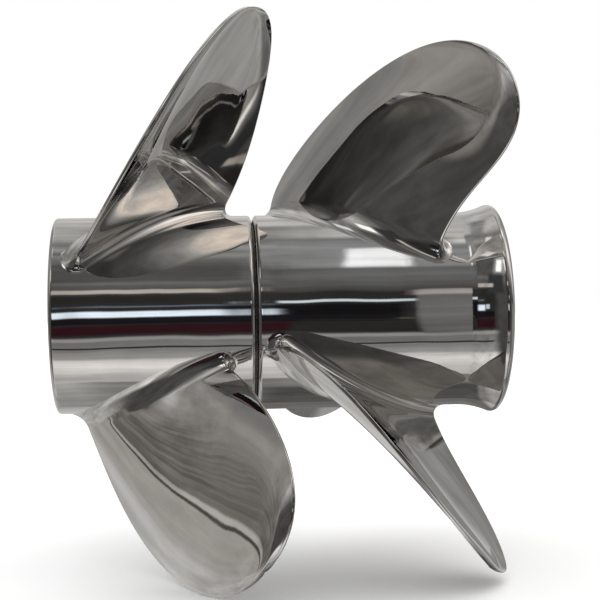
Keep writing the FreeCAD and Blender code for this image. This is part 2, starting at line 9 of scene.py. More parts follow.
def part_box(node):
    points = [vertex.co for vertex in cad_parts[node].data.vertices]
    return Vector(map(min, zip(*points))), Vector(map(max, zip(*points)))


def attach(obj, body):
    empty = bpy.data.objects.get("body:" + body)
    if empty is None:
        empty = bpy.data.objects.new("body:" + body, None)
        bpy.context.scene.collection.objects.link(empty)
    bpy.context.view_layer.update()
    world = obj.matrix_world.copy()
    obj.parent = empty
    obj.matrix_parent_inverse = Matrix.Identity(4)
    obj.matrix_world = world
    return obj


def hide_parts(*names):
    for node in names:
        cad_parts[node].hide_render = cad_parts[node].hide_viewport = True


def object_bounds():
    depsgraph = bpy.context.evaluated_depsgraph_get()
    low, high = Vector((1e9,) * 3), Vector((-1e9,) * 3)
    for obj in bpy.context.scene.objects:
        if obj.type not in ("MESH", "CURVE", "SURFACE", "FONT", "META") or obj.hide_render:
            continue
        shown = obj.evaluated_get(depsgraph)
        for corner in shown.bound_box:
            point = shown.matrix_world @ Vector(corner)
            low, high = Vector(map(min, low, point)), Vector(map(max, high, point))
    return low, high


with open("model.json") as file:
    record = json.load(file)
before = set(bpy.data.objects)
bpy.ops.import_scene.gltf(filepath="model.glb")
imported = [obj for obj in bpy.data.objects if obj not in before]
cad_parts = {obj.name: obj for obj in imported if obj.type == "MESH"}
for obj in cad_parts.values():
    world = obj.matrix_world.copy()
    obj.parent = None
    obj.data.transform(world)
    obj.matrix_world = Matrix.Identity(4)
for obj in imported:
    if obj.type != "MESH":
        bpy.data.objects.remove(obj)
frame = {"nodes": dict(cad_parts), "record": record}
cad_low, cad_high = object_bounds()
MM = 0.001

# ------------------------------------------------------------------ sizes of the castings, in mm
# +X runs aft along the shaft axis; the seam between the two hubs is at X_SEAM. Names that end in
# STEPS or LEVELS count divisions of a mesh.

BARREL_RADIUS = 63.0
BARREL_BORE = 57.5
BARREL_EDGE = 2.5
X_SEAM = 106.0
HALF_GAP = 0.75
X_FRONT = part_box("front_propeller")[0].x / MM
X_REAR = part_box("rear_propeller")[1].x / MM
FLARE_LENGTH = 27.0
FLARE_ANGLE = math.radians(24.0)
LIP_RADIUS = 4.0
SPIGOT_LENGTH = 6.0
SPIGOT_RADIUS = BARREL_BORE - 1.0
SPIGOT_WALL = 5.0
BARREL_WALL = 5.0                       # at the flared mouth
CORE_WALL = 6.0
CORE_ROUND = 1.5
FRONT_CORE = (0.0, 84.0, 39.0)          # start, length and outer radius of the inner barrels
REAR_CORE = (126.0, 90.0, 33.0)
RIB_THICKNESS = 6.0
RIB_SETBACK = 4.0
RIB_SPREAD = 3.0                        # how much wider a rib gets on each side at its roots
RIB_SPREAD_HEIGHT = 4.0
RIB_SINK = 2.0                          # how far a rib's ends sink into both barrels
ROUND_LEAD = 0.4                        # short run before a rounded edge
BORE_CHAMFER = 0.6
SPIGOT_CHAMFER = 0.5
LIP_CHAMFER = 0.8
BORE_STEP = (5.0, 10.0)                 # where the rear bore narrows to the spigot's, aft of the seam
PASSAGE_LIMIT = 1.2                     # faces this close to the bore's radius stay as cast
LONGEST_RUN = 6.0                       # longer straight runs of an outline are divided
BARREL_STEPS = 288
BARREL_EDGE_STEPS = 12
FLARE_STEPS = 24
LIP_STEPS = 16
CORE_STEPS = 144
CORE_ROUND_STEPS = 6
RIB_LEVELS = 14
RIB_END_STEPS = 12

BLADES = 3
ROOT_FILLET = 9.0
EDGE_RADIUS = (1.6, 1.0)                # of a blade's edges, at the root and at the tip
THICKNESS = (13.0, 2.6)                 # of a blade's middle, at the root and at the tip
EDGE_LIMIT = 0.3                        # most that edge and half thickness may take of the half chord
THICKNESS_LIMIT = 0.4
CUP_DEPTH = 7.0
CUP_LENGTH = 0.3                        # share of the half chord that curls at the trailing edge
FOOT_DEPTH = 2.5                        # how far a blade's foot sits inside the barrel wall
FOOT_TOUCH = 0.02                       # just under the surface, where the root fillet starts
FILLET_STEPS = 18
SPAN_STEPS = 90
TIP_SHARE = 0.9985                      # the loops stop just short of the tip's own point
SIDE_STEPS = 60
CAP_STEPS = 8                           # round each edge of a blade


class BladeForm:
    """One propeller's blade laws. twist is +1 for a left-hand screw, -1 for a right-hand one."""

    def __init__(self, twist, tip_radius, x_root, angle, pitch, half_chord, rake, skew, camber):
        self.twist = twist
        self.tip_radius = tip_radius
        self.x_root = x_root
        self.angle = math.radians(angle)
        self.pitch = pitch
        self.half_chord = half_chord
        self.rake = rake
        self.skew = np.radians(skew)
        self.camber = camber


FRONT_FORM = BladeForm(1.0, 195.4, 40.5, 61.2, (547.7, 519.2), (55.3, 74.7, 104.1, 139.0),
                       (0.0, 21.3, 27.8, 63.4), (0.0, -0.3, -0.7, 11.2), 6.0)
REAR_FORM = BladeForm(-1.0, 179.3, 169.9, 67.6, (552.9, 587.3), (62.2, 77.5, 100.9, 114.4),
                      (0.0, 3.3, 43.4, 70.2), (0.0, -13.9, 5.1, 6.2), -6.1)

# ------------------------------------------------------------------ mesh helpers


def new_piece(name, points, faces, materials, sharp, indices=None):
    """A smooth-shaded mesh object from points in mm, with edges over the sharp angle kept crisp."""
    mesh = bpy.data.meshes.new(name)
    mesh.from_pydata([tuple(point * MM) for point in points], [], faces)
    mesh.validate()
    for material in materials:
        mesh.materials.append(material)
    if indices is not None:
        mesh.polygons.foreach_set("material_index", indices)
    mesh.shade_smooth()
    mesh.set_sharp_from_angle(angle=math.radians(sharp))
    mesh.update()
    piece = bpy.data.objects.new(name, mesh)
    bpy.context.scene.collection.objects.link(piece)
    return piece


def arc(centre, radius, start, end, steps):
    """Points (x, r) on a circle, from start to end in degrees from +X towards +r."""
    turns = [math.radians(start + (end - start) * step / steps) for step in range(steps + 1)]
    return [(centre[0] + radius * math.cos(t), centre[1] + radius * math.sin(t)) for t in turns]


def divided(outline, longest):
    """The closed outline with its long straight runs cut into shorter ones."""
    result = []
    for start, end in zip(outline, outline[1:] + outline[:1]):
        run = math.hypot(end[0] - start[0], end[1] - start[1])
        cuts = max(1, math.ceil(run / longest))
        for cut in range(cuts):
            share = cut / cuts
            result.append((start[0] + (end[0] - start[0]) * share,
                           start[1] + (end[1] - start[1]) * share))
    return result


def skin(rows, count, closed=False):
    """Quads between loops of count points, laid row after row; closed joins the last to the first."""
    faces = []
    for row in range(rows if closed else rows - 1):
        below = (row + 1) % rows
        for step in range(count):
            after = (step + 1) % count
            faces.append((row * count + step, row * count + after,
                          below * count + after, below * count + step))
    return faces


def capped_skin(rows, count):
    """The same, with a flat cap on the first loop and on the last."""
    faces = skin(rows, count)
    faces.append(tuple(range(count))[::-1])
    faces.append(tuple(range((rows - 1) * count, rows * count)))
    return faces


def turned(outline, steps):
    """Points and faces of a closed (x, r) outline turned about the X axis."""
    angles = np.arange(steps) * 2.0 * math.pi / steps
    points = []
    for x, r in outline:
        for angle in angles:
            points.append(np.array((x, -r * math.cos(angle), r * math.sin(angle))))
    return points, skin(len(outline), steps, closed=True)


def bezier(controls, place):
    """Curve value at place, from 0 to 1, by repeated blending of its control values."""
    values = list(controls)
    while len(values) > 1:
        values = [low + (high - low) * place for low, high in zip(values, values[1:])]
    return values[0]


# ------------------------------------------------------------------ blades


def blade_loop(form, radius, grow, blade_angle):
    """One closed section loop, grown outward by grow and wrapped on the cylinder of its radius."""
    share = min(1.0, max(0.0, (radius - BARREL_RADIUS) / (form.tip_radius - BARREL_RADIUS)))
    half_chord = bezier(form.half_chord, share) * math.sqrt(max(0.0, 1.0 - share * share))
    edge = min(bezier(EDGE_RADIUS, share), half_chord * EDGE_LIMIT)
    thickest = max(edge, min(bezier(THICKNESS, share) / 2.0, half_chord * THICKNESS_LIMIT))
    reach = half_chord - edge
    curved = share * half_chord / (half_chord + form.half_chord[0])
    cup_start = 1.0 - CUP_LENGTH

    def half_thickness(s):
        return edge + (thickest - edge) * (1.0 - s * s)

    def mean_line(s):
        bow = half_thickness(s) - edge + form.camber * curved * (1.0 - s * s)
        return bow - CUP_DEPTH * curved * np.maximum(0.0, (s - cup_start) / CUP_LENGTH) ** 2

    s = -np.cos(np.arange(SIDE_STEPS + 1) * math.pi / SIDE_STEPS)
    turn = np.radians(90.0 - 180.0 * np.arange(1, CAP_STEPS) / CAP_STEPS)
    round_radius = edge + grow
    along = np.concatenate([reach * s, reach + round_radius * np.cos(turn),
                            reach * s[::-1], -reach - round_radius * np.cos(turn)])
    off = np.concatenate([mean_line(s) + half_thickness(s) + grow,
                          mean_line(1.0) + round_radius * np.sin(turn),
                          mean_line(s[::-1]) - half_thickness(s[::-1]) - grow,
                          mean_line(-1.0) - round_radius * np.sin(turn)])
    helix = math.atan(bezier(form.pitch, share) / (2.0 * math.pi * radius))
    x = form.x_root + bezier(form.rake, share) + along * math.sin(helix) - off * math.cos(helix)
    swing = bezier(form.skew, share) + (along * math.cos(helix) + off * math.sin(helix)) / radius
    angle = blade_angle + form.twist * swing
    return np.stack([x, -radius * np.cos(angle), radius * np.sin(angle)], axis=1)


def blade_stations(form):
    """(radius, grow) from the foot inside the barrel wall, through the fillet, to the tip."""
    stations = [(BARREL_RADIUS - FOOT_DEPTH, ROOT_FILLET), (BARREL_RADIUS - FOOT_TOUCH, ROOT_FILLET)]
    for step in range(1, FILLET_STEPS + 1):
        turn = math.radians(90.0 * step / FILLET_STEPS)
        stations.append((BARREL_RADIUS + ROOT_FILLET * (1.0 - math.cos(turn)),
                         ROOT_FILLET * (1.0 - math.sin(turn))))
    span = form.tip_radius - BARREL_RADIUS
    first = 2.0 / math.pi * math.asin(ROOT_FILLET / span)
    for step in range(1, SPAN_STEPS + 1):
        share = math.sin(math.pi / 2.0 * (first + (TIP_SHARE - first) * step / SPAN_STEPS))
        stations.append((BARREL_RADIUS + span * share, 0.0))
    return stations


def make_blade(name, form, number, metal):
    """One closed blade, from a foot hidden in the barrel wall to its rounded tip."""
    blade_angle = form.angle + 2.0 * math.pi * number / BLADES
    loops = [blade_loop(form, radius, grow, blade_angle) for radius, grow in blade_stations(form)]
    points = [point for loop in loops for point in loop]
    faces = capped_skin(len(loops), len(loops[0]))
    if form.twist < 0:
        faces = [face[::-1] for face in faces]
    return new_piece(name, points, faces, [metal], sharp=50.0)


# ------------------------------------------------------------------ hubs


def front_barrel_outline():
    """Half section of the front barrel: both outer edges rounded."""
    end = X_SEAM - HALF_GAP
    edge = BARREL_EDGE
    outline = [(X_FRONT, BARREL_BORE + BORE_CHAMFER), (X_FRONT, BARREL_RADIUS - edge - ROUND_LEAD)]
    outline += arc((X_FRONT + edge, BARREL_RADIUS - edge), edge, 180.0, 90.0, BARREL_EDGE_STEPS)
    outline += [(X_FRONT + edge + ROUND_LEAD, BARREL_RADIUS),
                (end - edge - ROUND_LEAD, BARREL_RADIUS)]
    outline += arc((end - edge, BARREL_RADIUS - edge), edge, 90.0, 0.0, BARREL_EDGE_STEPS)
    outline += [(end, BARREL_BORE + BORE_CHAMFER), (end - BORE_CHAMFER, BARREL_BORE),
                (X_FRONT + BORE_CHAMFER, BARREL_BORE)]
    return outline


def rear_barrel_outline():
    """Half section of the rear barrel: spigot, straight run, flared end and rounded lip."""
    start = X_SEAM + HALF_GAP
    edge = BARREL_EDGE
    flare_start = X_REAR - FLARE_LENGTH
    flare_run = FLARE_LENGTH - LIP_RADIUS * (1.0 + math.sin(FLARE_ANGLE))
    flare_radius = flare_run / math.sin(FLARE_ANGLE)
    rise = flare_radius * (1.0 - math.cos(FLARE_ANGLE))
    lip = (X_REAR - LIP_RADIUS, BARREL_RADIUS + rise - LIP_RADIUS * math.cos(FLARE_ANGLE))
    degrees = math.degrees(FLARE_ANGLE)
    spigot_bore = SPIGOT_RADIUS - SPIGOT_WALL
    spigot_end = X_SEAM - SPIGOT_LENGTH
    outline = [(spigot_end, spigot_bore), (spigot_end, SPIGOT_RADIUS - SPIGOT_CHAMFER),
               (spigot_end + SPIGOT_CHAMFER, SPIGOT_RADIUS),
               (start, SPIGOT_RADIUS), (start, BARREL_RADIUS - edge - ROUND_LEAD)]
    outline += arc((start + edge, BARREL_RADIUS - edge), edge, 180.0, 90.0, BARREL_EDGE_STEPS)
    outline += [(start + edge + ROUND_LEAD, BARREL_RADIUS)]
    outline += arc((flare_start, BARREL_RADIUS + flare_radius), flare_radius, -90.0,
                   -90.0 + degrees, FLARE_STEPS)
    outline += arc(lip, LIP_RADIUS, 90.0 + degrees, 0.0, LIP_STEPS)[1:]
    mouth = lip[1] - BARREL_WALL
    outline += [(X_REAR, lip[1] - ROUND_LEAD), (X_REAR, mouth + LIP_CHAMFER),
                (X_REAR - LIP_CHAMFER, mouth), (flare_start, BARREL_BORE),
                (start + BORE_STEP[1], BARREL_BORE), (start + BORE_STEP[0], spigot_bore)]
    return outline


def make_barrel(name, outline, metal, rough):
    """The outer barrel: polished outside, as-cast inside and on the spigot."""
    outline = divided(outline, LONGEST_RUN)
    points, faces = turned(outline, BARREL_STEPS)
    indices = []
    for (x, r), (x_after, r_after) in zip(outline, outline[1:] + outline[:1]):
        passage = (r + r_after) / 2.0 < BARREL_BORE + PASSAGE_LIMIT
        flare = x > X_REAR - FLARE_LENGTH and x_after < x and r_after < r
        indices += [1 if passage or flare else 0] * BARREL_STEPS
    return new_piece(name, points, faces, [metal, rough], sharp=35.0, indices=indices)


def make_core(name, start, length, radius, rough):
    """The inner barrel that grips the bush, with small rounds at both ends."""
    bore = radius - CORE_WALL
    end = start + length
    level = radius - CORE_ROUND
    outline = [(start, bore + BORE_CHAMFER), (start, level)]
    outline += arc((start + CORE_ROUND, level), CORE_ROUND, 180.0, 90.0, CORE_ROUND_STEPS)
    outline += arc((end - CORE_ROUND, level), CORE_ROUND, 90.0, 0.0, CORE_ROUND_STEPS)
    outline += [(end, bore + BORE_CHAMFER), (end - BORE_CHAMFER, bore), (start + BORE_CHAMFER, bore)]
    points, faces = turned(divided(outline, LONGEST_RUN), CORE_STEPS)
    return new_piece(name, points, faces, [rough], sharp=35.0)


def make_rib(name, number, start, length, low, high, rough):
    """One rib across the exhaust passage, rounded fore and aft and spread at both roots."""
    half = RIB_THICKNESS / 2.0
    spin = Matrix.Rotation(math.radians(360.0 / BLADES * number), 3, "X")
    points = []
    for level in range(RIB_LEVELS + 1):
        r = low + (high - low) * level / RIB_LEVELS
        near_root = min(r - low, high - r)
        spread = RIB_SPREAD * max(0.0, 1.0 - near_root / RIB_SPREAD_HEIGHT) ** 2
        ends = arc((start + RIB_SETBACK + half, 0.0), half + spread, 90.0, 270.0, RIB_END_STEPS)
        ends += arc((start + length - RIB_SETBACK - half, 0.0), half + spread, 270.0, 450.0,
                    RIB_END_STEPS)
        points += [np.array(spin @ Vector((x, y, r))) for x, y in ends]
    faces = capped_skin(RIB_LEVELS + 1, 2 * (RIB_END_STEPS + 1))
    return new_piece(name, points, faces, [rough], sharp=60.0)


def make_propeller(end, form, barrel_outline, core, metal, rough):
    """All the pieces that stand for one casting; core is its inner barrel's start, length, radius."""
    start, length, radius = core
    pieces = [make_barrel(end + "_hub_barrel", barrel_outline, metal, rough),
              make_core(end + "_hub_core", start, length, radius, rough)]
    for number in range(BLADES):
        pieces.append(make_blade("%s_blade_%d" % (end, number + 1), form, number, metal))
        pieces.append(make_rib("%s_hub_rib_%d" % (end, number + 1), number, start, length,
                               radius - RIB_SINK, BARREL_BORE + RIB_SINK, rough))
    for piece in pieces:
        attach(piece, end + "_screw")
        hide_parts(end + "_propeller")


# ------------------------------------------------------------------ materials


class Nodes:
    """Short helper that adds and links shader nodes; every input is a socket or a plain value."""

    def __init__(self, tree):
        self.tree = tree
        self.tree.nodes.clear()

    def feed(self, socket, value):
        if isinstance(value, bpy.types.NodeSocket):
            self.tree.links.new(value, socket)
        else:
            socket.default_value = value

    def add(self, kind, **inputs):
        node = self.tree.nodes.new(kind)
        for name, value in inputs.items():
            self.feed(node.inputs[name.replace("_", " ")], value)
        return node

    def math(self, operation, first, second=0.0):
        node = self.tree.nodes.new("ShaderNodeMath")
        node.operation = operation
        for socket, value in zip(node.inputs, (first, second)):
            self.feed(socket, value)
        return node.outputs[0]

    def vector_math(self, operation, inputs):
        node = self.tree.nodes.new("ShaderNodeVectorMath")
        node.operation = operation
        for place, value in inputs.items():
            self.feed(node.inputs[place], value)
        return node

    def mapped(self, value, low, high, to_low, to_high, smooth=False):
        node = self.add("ShaderNodeMapRange", Value=value, From_Min=low, From_Max=high,
                        To_Min=to_low, To_Max=to_high)
        node.interpolation_type = "SMOOTHSTEP" if smooth else "LINEAR"
        return node.outputs[0]

    def mix(self, share, first, second):
        node = self.tree.nodes.new("ShaderNodeMix")
        node.data_type = "RGBA"
        for place, value in ((0, share), (6, first), (7, second)):
            self.feed(node.inputs[place], value)
        return node.outputs[2]


def new_material(name):
    material = bpy.data.materials.new(name)
    material.use_nodes = True
    return material, Nodes(material.node_tree)


def stretched(nodes, scale=(1.0, 1.0, 1.0)):
    """Object coordinates times a scale; an axis with a low scale gets longer marks."""
    coordinates = nodes.add("ShaderNodeTexCoord")
    mapping = nodes.add("ShaderNodeMapping", Vector=coordinates.outputs["Object"], Scale=scale)
    return mapping.outputs["Vector"]


def noise(nodes, vector, scale, detail=2.0, roughness=0.5):
    node = nodes.add("ShaderNodeTexNoise", Vector=vector, Scale=scale, Detail=detail,
                     Roughness=roughness)
    return node.outputs["Fac"]


def surface(nodes, tint, rough, bump, metallic):
    """The shader and output that every material of the object ends in."""
    shader = nodes.add("ShaderNodeBsdfPrincipled", Base_Color=tint, Roughness=rough,
                       Normal=bump.outputs[0], Metallic=metallic)
    nodes.add("ShaderNodeOutputMaterial", Surface=shader.outputs[0])


def polished_stainless():
    """Mirror polish over a hand-ground casting: slow waves, finer ripples, buffing lines, smudges."""
    material, nodes = new_material("polished_stainless")
    plain = stretched(nodes)
    smudge = noise(nodes, plain, 30.0, 4.0, 0.6)
    buffing = noise(nodes, stretched(nodes, (3.0, 1.0, 1.0)), 700.0, 3.0, 0.7)
    tint = nodes.mix(nodes.mapped(smudge, 0.3, 0.7, 0.0, 1.0), (0.58, 0.568, 0.552, 1.0),
                     (0.67, 0.66, 0.648, 1.0))
    rough = nodes.math("ADD", nodes.mapped(smudge, 0.4, 0.7, 0.012, 0.045),
                       nodes.mapped(buffing, 0.45, 0.8, 0.0, 0.03))
    waves = nodes.add("ShaderNodeBump", Strength=1.0, Distance=0.0007,
                      Height=noise(nodes, plain, 20.0, 1.0))
    ripples = nodes.add("ShaderNodeBump", Strength=1.0, Distance=0.000015,
                        Height=noise(nodes, stretched(nodes, (1.0, 1.0, 0.6)), 95.0),
                        Normal=waves.outputs[0])
    lines = nodes.add("ShaderNodeBump", Strength=1.0, Distance=0.0000004, Height=buffing,
                      Normal=ripples.outputs[0])
    surface(nodes, tint, rough, lines, 1.0)
    return material


def cast_steel():
    """As-cast, shot-blasted steel of the passages: grainy and dull, stained brown in places."""
    material, nodes = new_material("cast_steel")
    plain = stretched(nodes)
    grain = noise(nodes, plain, 900.0, 3.0, 0.6)
    stain = noise(nodes, plain, 35.0, 4.0, 0.6)
    tint = nodes.mix(nodes.mapped(stain, 0.35, 0.7, 0.0, 1.0), (0.30, 0.29, 0.27, 1.0),
                     (0.21, 0.18, 0.145, 1.0))
    bump = nodes.add("ShaderNodeBump", Strength=0.5, Distance=0.0004, Height=grain)
    rough = nodes.mapped(grain, 0.3, 0.7, 0.42, 0.62)
    surface(nodes, tint, rough, bump, 1.0)
    return material


LATHE_WAVES = 9000.0                    # radians per metre, so rings 0.7 mm apart


def turned_metal(name, light, dark, low_rough, high_rough):
    """Machined metal: fine turning rings round the shaft axis, and light tarnish."""
    material, nodes = new_material(name)
    coordinates = nodes.add("ShaderNodeTexCoord")
    split = nodes.add("ShaderNodeSeparateXYZ", Vector=coordinates.outputs["Object"])
    across = nodes.math("SQRT", nodes.math("ADD", nodes.math("POWER", split.outputs["Y"], 2.0),
                                           nodes.math("POWER", split.outputs["Z"], 2.0)))
    lathe = nodes.math("SINE", nodes.math("MULTIPLY", nodes.math("ADD", split.outputs["X"], across),
                                          LATHE_WAVES))
    tarnish = noise(nodes, stretched(nodes), 60.0, 5.0, 0.6)
    tint = nodes.mix(nodes.mapped(tarnish, 0.35, 0.7, 0.0, 1.0), light, dark)
    bump = nodes.add("ShaderNodeBump", Strength=0.25, Distance=0.0001, Height=lathe)
    rough = nodes.mapped(tarnish, 0.3, 0.7, low_rough, high_rough)
    surface(nodes, tint, rough, bump, 1.0)
    return material


def bush_rubber():
    """Moulded rubber: matt, slightly mottled, with a fine pebbled skin."""
    material, nodes = new_material("bush_rubber")
    plain = stretched(nodes)
    bloom = noise(nodes, plain, 80.0, 4.0, 0.6)
    pebble = noise(nodes, plain, 1500.0)
    tint = nodes.mix(bloom, (0.018, 0.018, 0.019, 1.0), (0.05, 0.049, 0.047, 1.0))
    bump = nodes.add("ShaderNodeBump", Strength=0.4, Distance=0.0003, Height=pebble)
    rough = nodes.mapped(bloom, 0.3, 0.7, 0.6, 0.85)
    surface(nodes, tint, rough, bump, 0.0)
    return material


# ------------------------------------------------------------------ studio


# What the mirror finish sees in the room. A direction is given by its turn about the shaft, in
# degrees (0 towards the camera, 90 up, 180 behind, -90 down), and by its X share. Each wall is
# a list of (turn, brightness) that starts behind and goes round below, in front and above.

MIDDLE_WALL = [(-180, 0.60), (-155, 0.64), (-134, 0.50), (-114, 0.48), (-106, 0.66), (-74, 0.68),
               (-66, 0.82), (-58, 1.02), (-53, 0.80), (-51, 0.44), (-43, 0.34), (-35, 0.24),
               (-31, 0.24), (-29, 0.46), (-27, 0.40), (-25, 0.035), (21, 0.035), (25, 0.10),
               (33, 0.16), (36, 0.24), (48, 0.40), (57, 0.24), (64, 0.17), (71, 0.34), (76, 0.22),
               (83, 0.38), (90, 0.24), (93, 0.26), (99, 0.62), (135, 0.64), (180, 0.60)]
LEFT_WALL = [(-180, 0.26), (-171, 0.30), (-163, 0.46), (-150, 0.60), (-120, 0.56), (-90, 0.40),
             (-70, 0.14), (-55, 0.08), (5, 0.09), (24, 0.10), (38, 0.28), (55, 0.58), (66, 0.48),
             (72, 0.30), (84, 0.38), (95, 0.28), (118, 0.27), (150, 0.34), (180, 0.26)]
RIGHT_WALL = [(-180, 0.37), (-160, 0.42), (-145, 0.48), (-132, 0.22), (-98, 0.20), (-90, 0.42),
              (-76, 0.40), (-70, 0.24), (-55, 0.15), (-30, 0.10), (5, 0.07), (25, 0.14),
              (48, 0.40), (62, 0.90), (84, 1.00), (98, 0.75), (112, 0.42), (150, 0.27), (180, 0.37)]

# Patches laid over the walls in this order: (low X share, high X share, low turn, high turn,
# softness in X share, softness in turn) and the colour.

PATCHES = [
    # painted shadow and painted reflection of the propeller itself on the table: darker under the
    # rear half
    ((-0.08, 0.30, -133.0, -84.0, 0.05, 2.0), (0.28, 0.275, 0.265, 1.0)),
    # behind and to the right the sweep is dimmer, most of all where it meets the table
    ((0.00, 0.30, -190.0, -130.0, 0.04, 3.0), (0.20, 0.195, 0.19, 1.0)),
    ((0.03, 0.30, -136.0, -99.0, 0.03, 3.0), (0.11, 0.107, 0.102, 1.0)),
    # a dark patch on the table, further right
    ((0.34, 0.50, -98.0, -64.0, 0.05, 4.0), (0.09, 0.085, 0.08, 1.0)),
    # the top of the sweep, overhead and just behind
    ((-0.09, 0.09, 94.0, 120.0, 0.04, 3.0), (0.34, 0.335, 0.325, 1.0)),
    # far right, low: a paler screen
    ((0.74, 1.10, -75.0, 8.0, 0.04, 3.0), (0.27, 0.26, 0.24, 1.0)),
    # a grey screen above the rear half, darker in its lower part
    ((0.05, 0.24, 30.0, 52.0, 0.008, 3.0), (0.17, 0.17, 0.172, 1.0)),
    ((0.05, 0.24, 52.0, 92.0, 0.008, 3.0), (0.31, 0.315, 0.32, 1.0)),
    # the dark gap above the camera, and a darker one lower down to its left
    ((-0.30, 0.055, 37.0, 62.0, 0.03, 2.5), (0.11, 0.108, 0.106, 1.0)),
    ((-0.50, -0.20, 17.0, 40.0, 0.04, 3.0), (0.05, 0.05, 0.052, 1.0)),
    # right of the camera: a black doorway, the paler wall beyond it, a greenish line across it
    ((0.035, 0.150, -12.0, 8.0, 0.015, 2.0), (0.012, 0.011, 0.012, 1.0)),
    ((0.168, 0.225, -27.0, 22.0, 0.008, 4.0), (0.21, 0.205, 0.20, 1.0)),
    ((0.085, 0.160, -10.6, -8.6, 0.02, 0.7), (0.10, 0.10, 0.07, 1.0)),
    # a thin dark edge all along the table
    ((-0.30, 0.30, -39.4, -37.4, 0.05, 0.5), (0.045, 0.043, 0.042, 1.0)),
    # the dark cloth round the camera, red at its lower hem
    ((-0.32, 0.07, -22.5, -12.0, 0.01, 1.5), (0.040, 0.012, 0.017, 1.0)),
    ((-0.32, 0.14, -11.0, -4.0, 0.01, 1.5), (0.013, 0.012, 0.015, 1.0)),
    # daylight window and its dimmer neighbour
    ((-0.12, 0.04, -3.0, 3.5, 0.03, 1.2), (1.15, 1.30, 1.45, 1.0)),
    ((-0.22, -0.14, -1.0, 4.0, 0.02, 1.0), (0.80, 0.90, 1.00, 1.0)),
    # two thin bluish lines above the window
    ((0.048, 0.166, 10.0, 12.6, 0.008, 0.9), (0.80, 0.92, 0.97, 1.0)),
    ((-0.10, 0.04, 8.0, 9.5, 0.03, 0.8), (0.16, 0.20, 0.26, 1.0)),
    # warm strip lamp above the camera, and a shorter one to its right
    ((-0.30, 0.03, 24.0, 28.5, 0.02, 1.0), (0.62, 0.57, 0.52, 1.0)),
    ((0.160, 0.215, 17.0, 23.0, 0.015, 1.5), (0.48, 0.46, 0.44, 1.0)),
    # ceiling lamps
    ((0.120, 0.152, 52.0, 78.0, 0.010, 3.0), (1.25, 1.28, 1.30, 1.0)),
    ((-0.24, -0.15, 72.0, 88.0, 0.02, 2.0), (1.05, 1.05, 1.05, 1.0)),
    ((-0.45, -0.35, 43.0, 57.0, 0.02, 2.0), (1.60, 1.60, 1.55, 1.0)),
    ((0.20, 0.42, 84.0, 97.0, 0.03, 3.0), (1.60, 1.55, 1.45, 1.0)),
    ((0.55, 0.80, 58.0, 92.0, 0.05, 5.0), (1.25, 1.12, 1.00, 1.0)),
]

# X shares over which the walls blend into each other.

RIGHT_BLEND = (0.30, 0.52)
LEFT_BLEND = (-0.46, -0.28)

# The cupboard far to the left: where it fades out along X and along Y, and the weights of the
# direction's X, Y and Z that give the slant of its edge. Each band of the edge has the level
# where it starts, its softness and its colour; the wood itself begins at WOOD_START.

CUPBOARD_X = (-0.84, -0.76)
CUPBOARD_Y = (-0.26, -0.10)
CUPBOARD_SLOPE = (1.5, -1.0, 0.83)
CUPBOARD_EDGE = [(-2.02, 0.015, (0.43, 0.415, 0.39, 1.0)),
                 (-1.82, 0.006, (0.08, 0.072, 0.07, 1.0)),
                 (-1.80, 0.006, (0.50, 0.48, 0.45, 1.0))]
WOOD_START = -1.77
WOOD_SOFTNESS = 0.010
WOOD_DARK = (0.145, 0.138, 0.128, 1.0)
WOOD_LIGHT = (0.250, 0.240, 0.225, 1.0)
WOOD_TOP = (0.33, 0.32, 0.30, 1.0)
GRAIN_ACROSS = 24.0
GRAIN_ALONG = 3.0

WALL_TINT = (1.0, 0.985, 0.96)
DIMMEST = 0.78                          # of the slow changes in the light
BRIGHTEST = 1.26
WHITE = (1.0, 1.0, 1.0, 1.0)
MATT_LIGHT = (1.5, 1.5, 1.5, 1.0)       # what matt surfaces get, so that the floor comes out white
FLOOR_HALF_WIDTH = 40.0                 # in metres, as the gap is
FLOOR_GAP = 0.0005

FOCAL_LENGTH = 81.26
SENSOR_WIDTH = 36.0
CAMERA_PLACE = (X_SEAM - 37.07, -882.9, -0.09)
CAMERA_TURN = (-0.0771, 0.0086, 0.0198)         # yaw, pitch and roll, in radians


